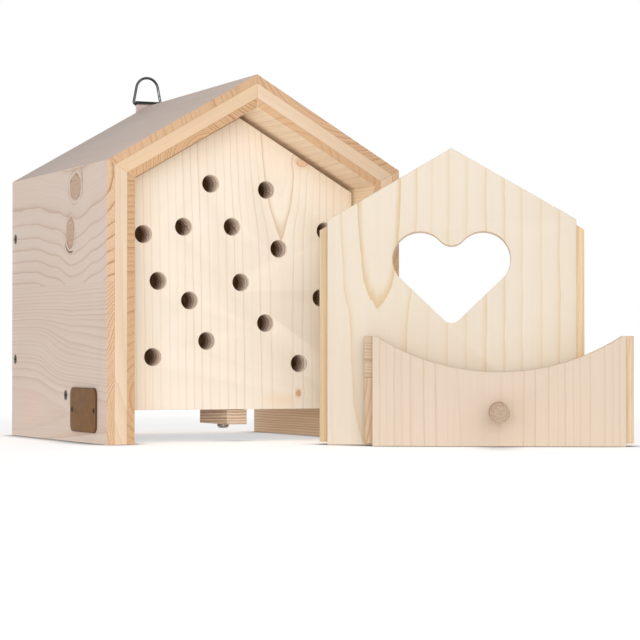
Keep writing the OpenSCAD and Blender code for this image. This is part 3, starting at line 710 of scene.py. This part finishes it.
# Sawn strips and the turn block are solid wood
def solidWood(name, node, along, look, inward):
    middle, turn = boardPlace(node, along, inward)
    material, tree, shader = newMaterial(name)
    habit = solidHabit
    point, facing = ownPlace(tree, middle, turn)
    x, y, z = split(tree, point)
    taper = product(tree, x, look["tilt"])
    line, fibre, cutAcross = solidMarks(tree, point, facing, look, taper, habit["sawn"])
    colour = mixColour(tree, fibre["Blotch"], rgba(look["pale"]), rgba(look["second"]))
    colour = mixColour(tree, product(tree, fibre["Streak"], habit["streak"]), colour, rgba(look["line"]))
    colour = mixColour(tree, product(tree, line, look["amount"]), colour, rgba(look["line"]))
    if "joint" in look:
        # above the joint the grain runs across the strip
        wires = {"Point": vector(tree, y, x, z), "Spacing": look["crossSpacing"], "Seed": look["seed"] + 2}
        crossed = useGroup(tree, growthRings, dict(habit["crossRings"], **wires))["Line"]
        other = mixColour(tree, product(tree, crossed, habit["cross"]), rgba(look["crossPale"]), rgba(look["line"]))
        colour = mixColour(tree, maths(tree, "GREATER_THAN", x, look["joint"]), colour, other)
        colour = mixColour(tree, closeTo(tree, x, look["joint"], *habit["seam"]), colour, rgba(look["dark"]))
    ends = mixColour(tree, line, rgba(look["end"]), rgba(look["line"], habit["endLineGain"]))
    ends = mixColour(tree, product(tree, fibre["Speckle"], habit["specks"]), ends, rgba(look["endSpot"]))
    colour = mixColour(tree, cutAcross, colour, ends)
    height = timesPlus(tree, line, habit["ringHeight"], product(tree, fibre["Streak"], habit["streakHeight"]))
    specks = product(tree, fibre["Speckle"], cutAcross)
    height = timesPlus(tree, specks, habit["speckHeight"], height)
    rough = timesPlus(tree, fibre["Streak"], *habit["rough"])
    surface(tree, shader, colour, rough, height, habit["relief"])
    return material


stripLook = {"seed": 12.5, "middle": 9.0, "deep": 12.0, "spacing": 2.2, "wave": 0.8, "tilt": 0.02,
             "pale": (0.8, 0.6, 0.38), "second": (0.86, 0.7, 0.48), "line": (0.5, 0.31, 0.17), "amount": 0.55,
             "end": (0.82, 0.64, 0.45), "endSpot": (0.66, 0.45, 0.28)}
jointedLook = dict(stripLook, seed=15.1, pale=(0.66, 0.49, 0.33), second=(0.74, 0.55, 0.37), line=(0.36, 0.22, 0.12),
                   amount=0.8, spacing=1.8, wave=1.6, tilt=0.12, joint=8.0, crossSpacing=2.7,
                   crossPale=(0.64, 0.49, 0.34), dark=(0.2, 0.11, 0.06))
knottyLook = dict(stripLook, seed=17.7, pale=(0.79, 0.64, 0.47), second=(0.74, 0.55, 0.39), spacing=3.4, wave=2.2,
                  tilt=0.15)
heartLeftLook = dict(stripLook, seed=14.2, pale=(0.7, 0.52, 0.32), second=(0.75, 0.6, 0.4))
heartRightLook = dict(stripLook, seed=14.9, pale=(0.84, 0.63, 0.4))
toLeft = Vector((-1, 0, 0))
for node, name, body, look in (
        ("drilled_left_strip", "drilledLeftStrip", "drilled_front", stripLook),
        ("drilled_right_strip", "drilledRightStrip", "drilled_front", dict(stripLook, seed=13.3)),
        ("heart_left_strip", "heartLeftStrip", "heart_front", heartLeftLook),
        ("heart_right_strip", "heartRightStrip", "heart_front", heartRightLook),
        ("half_left_strip", "halfLeftStrip", "half_front", jointedLook),
        ("half_right_strip", "halfRightStrip", "half_front", knottyLook)):
    softPiece(node, name, body, solidWood(name + "Wood", node, up, look, toLeft),
              softness=0.25)

blockLook = {"seed": 19.0, "middle": 0.0, "deep": 120.0, "spacing": 2.0, "wave": 0.15, "uneven": 0.7, "vary": 0.3,
             "sharp": 1.9, "tilt": 0.03, "pale": (0.82, 0.65, 0.5), "second": (0.86, 0.68, 0.52),
             "line": (0.14, 0.075, 0.04), "amount": 1.0, "end": (0.86, 0.66, 0.5), "endSpot": (0.62, 0.44, 0.3)}
softPiece("turn_block", "turnBlock", "turn_block",
          solidWood("blockWood", "turn_block", backwards, blockLook, up))
print("strips and turn block dressed")


# The perch is turned smooth along its sides and fuzzy on its sawn end
perchLook = {"seed": 23.0, "middle": 2.5, "deep": 3.5, "spacing": 1.5, "wave": 0.4, "sharp": 3.0,
             "pale": (0.7, 0.51, 0.37), "second": (0.64, 0.46, 0.33), "line": (0.48, 0.31, 0.2), "amount": 0.5,
             "end": (0.43, 0.29, 0.2), "endSpot": (0.63, 0.5, 0.38)}


def dowelWood(look):
    low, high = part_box("perch_dowel")
    sawnEnd = max((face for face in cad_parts["perch_dowel"].data.polygons
                   if face.normal.z < 0.01 and face.normal.y < -0.5), key=lambda face: face.area).normal
    along = Vector((sawnEnd.x, sawnEnd.y, 0)).normalized()
    turn = Matrix((along, up.cross(along), up)).transposed().to_euler()
    material, tree, shader = newMaterial("perchWood")
    habit = dowelHabit
    point, facing = ownPlace(tree, (low + high) / 2, turn)
    line, fibre, cutAcross = solidMarks(tree, point, facing, look, 0.0, habit["sawn"])
    colour = mixColour(tree, fibre["Streak"], rgba(look["pale"]), rgba(look["second"]))
    colour = mixColour(tree, product(tree, line, look["amount"]), colour, rgba(look["line"]))
    ends = mixColour(tree, fibre["Speckle"], rgba(look["end"]), rgba(look["endSpot"]))
    colour = mixColour(tree, cutAcross, colour, ends)
    specks = product(tree, fibre["Speckle"], cutAcross)
    height = timesPlus(tree, specks, habit["speckHeight"], fibre["Streak"])
    rough = timesPlus(tree, fibre["Streak"], *habit["rough"])
    surface(tree, shader, colour, rough, height, habit["relief"])
    return material


softPiece("perch_dowel", "perch", "half_front", dowelWood(perchLook), softness=0.3)
print("perch dressed")


# Steel of the screws, strap, ring and pins: cloudy, finely scratched, and with painted shade, near black, above a
# fold
steelHabit = {"cloudRates": (420.0, 420.0, 420.0), "scratchRates": (5200.0, 900.0, 300.0), "worn": (0.35, 0.7),
              "dull": (0.3, 0.75), "fold": 0.4, "scratchDepth": 0.00005}


def steel(name, look):
    material, tree, shader = newMaterial(name)
    habit = steelHabit
    x, y, z = split(tree, put(tree, "ShaderNodeTexCoord").outputs["Object"])
    cloud = noise(tree, stretched(tree, (x, y, z), habit["cloudRates"]), look["seed"], detail=3.0, rough=0.6)
    scratch = noise(tree, stretched(tree, (x, y, z), habit["scratchRates"]), look["seed"] + 1, detail=2.0)
    colour = mixColour(tree, smooth(tree, cloud, *habit["worn"]), rgba(look["colour"]), rgba(look["worn"]))
    if "shadeAbove" in look:
        # painted shade: near black above the fold
        fold = habit["fold"] * mm
        bend = smooth(tree, z, look["shadeAbove"] - fold, look["shadeAbove"] + fold)
        colour = mixColour(tree, bend, colour, rgba(look["dark"]))
    rough = timesPlus(tree, smooth(tree, cloud, *habit["dull"]), look["roughSpread"], look["rough"])
    surface(tree, shader, colour, rough, scratch, (look["scratch"], habit["scratchDepth"]), 0.5)
    shader.inputs["Metallic"].default_value = 1.0
    return material


zinc = steel("zincSteel", {"seed": 31.0, "colour": (0.34, 0.33, 0.32), "worn": (0.2, 0.19, 0.18), "rough": 0.3,
                           "roughSpread": 0.2, "scratch": 0.3})
darkZinc = steel("darkZinc", {"seed": 32.0, "colour": (0.035, 0.03, 0.025), "worn": (0.14, 0.125, 0.1),
                              "rough": 0.35, "roughSpread": 0.2, "scratch": 0.3})
nickel = steel("nickelSteel", {"seed": 33.0, "colour": (0.11, 0.11, 0.115), "worn": (0.07, 0.07, 0.072),
                               "rough": 0.1, "roughSpread": 0.1, "scratch": 0.06})
strapSteel = steel("strapSteel", {"seed": 35.0, "colour": (0.65, 0.53, 0.49), "worn": (0.54, 0.44, 0.4),
                                  "rough": 0.32, "roughSpread": 0.15, "scratch": 0.1,
                                  # painted shade above the strap's fold
                                  "dark": (0.035, 0.037, 0.033),
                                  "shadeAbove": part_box("hanger_strap")[1].z - 2.6 * mm})
brownMetal = steel("brownMetal", {"seed": 37.0, "colour": (0.03, 0.022, 0.018), "worn": (0.09, 0.06, 0.04),
                                  "rough": 0.32, "roughSpread": 0.2, "scratch": 0.2})
for node, finish in (("back_wall_screws", darkZinc), ("floor_screws", darkZinc), ("turn_block_screw", zinc),
                     ("hanger_screws", zinc), ("hanger_strap", strapSteel), ("hanger_ring", nickel),
                     ("label_pins", brownMetal)):
    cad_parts[node].material_slots[0].material = finish
print("steel dressed")


# Bare leather label
labelLook = {"hide": (0.255, 0.121, 0.038), "worn": (0.205, 0.093, 0.029), "edge": (0.08, 0.035, 0.014),
             "edgeWidth": 1.1, "edgeShown": 0.75, "corner": 5.0, "rough": 0.65, "seed": 41.0, "grainScale": 1.9,
             "creaseWidth": 0.22, "creaseDark": 0.25, "creaseRough": 0.1, "cloudRates": (0.12, 0.12, 0.12),
             "cloudShown": (0.35, 0.68), "relief": (0.4, 0.0001)}


def leather(look):
    low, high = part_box("label_patch")
    material, tree, shader = newMaterial("labelLeather")
    point = ownPlace(tree, (low + high) / 2)[0]
    x, y, z = split(tree, point)
    sides = []
    for part, half in ((y, (high.y - low.y) / 2 / mm), (z, (high.z - low.z) / 2 / mm)):
        over = minus(tree, maths(tree, "ABSOLUTE", part), half - look["corner"])
        sides.append(maths(tree, "MAXIMUM", over, 0.0))
    rim = smooth(tree, spanOf(tree, *sides), look["corner"] - look["edgeWidth"], look["corner"])
    cloud = noise(tree, stretched(tree, (x, y, z), look["cloudRates"]), look["seed"], detail=3.0, rough=0.6)
    grain = put(tree, "ShaderNodeTexVoronoi", {"Vector": point, "Scale": look["grainScale"]},
                feature="DISTANCE_TO_EDGE").outputs[0]
    raised = smooth(tree, grain, 0.0, look["creaseWidth"])
    colour = mixColour(tree, smooth(tree, cloud, *look["cloudShown"]), rgba(look["hide"]), rgba(look["worn"]))
    crease = timesPlus(tree, raised, -look["creaseDark"], look["creaseDark"])
    colour = mixColour(tree, crease, colour, rgba(look["edge"]))
    colour = mixColour(tree, product(tree, rim, look["edgeShown"]), colour, rgba(look["edge"]))
    rough = timesPlus(tree, raised, -look["creaseRough"], look["rough"])
    surface(tree, shader, colour, rough, raised, look["relief"], 0.2)
    return material


softPiece("label_patch", "label", "house", leather(labelLook), softness=0.45)
print("label dressed")


# Stage, light and camera
def seenRays(tree):
    rays = put(tree, "ShaderNodeLightPath").outputs
    seen = maths(tree, "MAXIMUM", rays["Is Camera Ray"],
                 maths(tree, "MAXIMUM", rays["Is Glossy Ray"], rays["Is Transmission Ray"]))
    return rays["Is Camera Ray"], seen


# Lengths of the stage are in metres; the paper's own light rises from near the house to far away
stage = {"size": 14.0, "below": 0.0002, "paper": (0.9, 0.9, 0.9), "glow": 0.25, "lift": 0.42, "farLift": 0.16,
         "liftRange": (0.4, 1.1), "contactReach": 0.022, "contactFrom": 0.4, "contactShade": 0.18,
         # painted shade colour under the house, and where it reaches
         "coolPaper": (0.62, 0.79, 0.97), "coolSides": (0.075, 0.09), "coolFront": (0.034, 0.05),
         "coolBack": (0.17, 0.2), "worldLight": 0.54}
bpy.ops.object.select_all(action="DESELECT")
bpy.ops.mesh.primitive_plane_add(size=stage["size"], location=(house.x, house.y, -stage["below"]))
ground = bpy.context.object
ground.name = "ground"
material = bpy.data.materials.new("groundPaper")
tree = emptyTree(material)
direct, seen = seenRays(tree)
spot = put(tree, "ShaderNodeTexCoord").outputs["Object"]
# painted shade colour: under the house, where the paper lies in shade, camera rays see it cooler, which takes back
# the warmth that the wood throws on it
x, y, _ = split(tree, spot)
shaded = product(tree, smooth(tree, maths(tree, "ABSOLUTE", x), *stage["coolSides"], 1.0, 0.0),
                 product(tree, smooth(tree, y, *stage["coolFront"]),
                         smooth(tree, y, *stage["coolBack"], 1.0, 0.0)))
cool = product(tree, direct, shaded)
paper = mixColour(tree, cool, rgba(stage["paper"]), rgba(stage["coolPaper"]))
# and a painted contact shadow, from ambient occlusion, darkens it for camera rays where a piece stands on it
hidden = put(tree, "ShaderNodeAmbientOcclusion", {"Distance": stage["contactReach"]}).outputs["AO"]
around = product(tree, direct, minus(tree, 1.0, shaded))
contact = smooth(tree, hidden, stage["contactFrom"], 1.0, stage["contactShade"] - 1.0, 0.0)
contact = timesPlus(tree, around, contact, 1.0)
diffuse = put(tree, "ShaderNodeBsdfDiffuse", {"Color": toned(tree, paper, contact)})
away = put(tree, "ShaderNodeVectorMath", {0: spot}, operation="LENGTH").outputs["Value"]
lift = smooth(tree, away, *stage["liftRange"], stage["lift"] - stage["glow"],
              stage["lift"] + stage["farLift"] - stage["glow"])
lift = product(tree, timesPlus(tree, seen, lift, stage["glow"]), contact)
glow = put(tree, "ShaderNodeEmission", {"Color": (1, 1, 1, 1), "Strength": lift})
both = put(tree, "ShaderNodeAddShader", {0: diffuse.outputs[0], 1: glow.outputs[0]})
put(tree, "ShaderNodeOutputMaterial", {"Surface": both.outputs[0]})
ground.data.materials.append(material)

world = bpy.data.worlds.new("paleStudio")
bpy.context.scene.world = world
tree = emptyTree(world)
seen = seenRays(tree)[1]
strength = timesPlus(tree, seen, 1.0 - stage["worldLight"], stage["worldLight"])
sky = put(tree, "ShaderNodeBackground", {"Color": (1, 1, 1, 1), "Strength": strength})
put(tree, "ShaderNodeOutputWorld", {"Surface": sky.outputs[0]})

# Soft lamps, placed from the middle of the house's front edge on the ground and turned to the house
lamps = {"keyLight": {"place": (-0.55, -2.25, 0.8), "size": 1.5, "power": 12.0},
         "fillLight": {"place": (-1.3, -2.0, 0.2), "size": 1.0, "power": 7.0},
         "lowLight": {"place": (-0.75, -1.8, 0.05), "size": 0.5, "power": 12.0}}
lampAim = house + Vector((0.03, 0, 0.12))
for name, lamp in lamps.items():
    bpy.ops.object.light_add(type="AREA", location=house + Vector(lamp["place"]))
    light = bpy.context.object
    light.name = name
    light.data.shape = "SQUARE"
    light.data.size = lamp["size"]
    light.data.energy = lamp["power"]
    light.rotation_euler = (lampAim - light.location).to_track_quat("-Z", "Y").to_euler()

# Camera from the picture, placed from the same spot, turned to the right and slightly upwards
view = {"place": (-0.5862, -1.3893, 0.0564), "turn": 24.459, "rise": 0.941, "lens": 127.85, "sensor": 36,
        "nearest": 0.05}
bpy.ops.object.camera_add(location=house + Vector(view["place"]),
                          rotation=(math.radians(90 + view["rise"]), 0, -math.radians(view["turn"])))
camera = bpy.context.object
camera.name = "camera"
camera.data.sensor_width = view["sensor"]
camera.data.lens = view["lens"]
camera.data.clip_start = view["nearest"]
bpy.context.scene.camera = camera
bpy.context.scene.view_settings.view_transform = "Standard"

print("stage, light and camera ready")
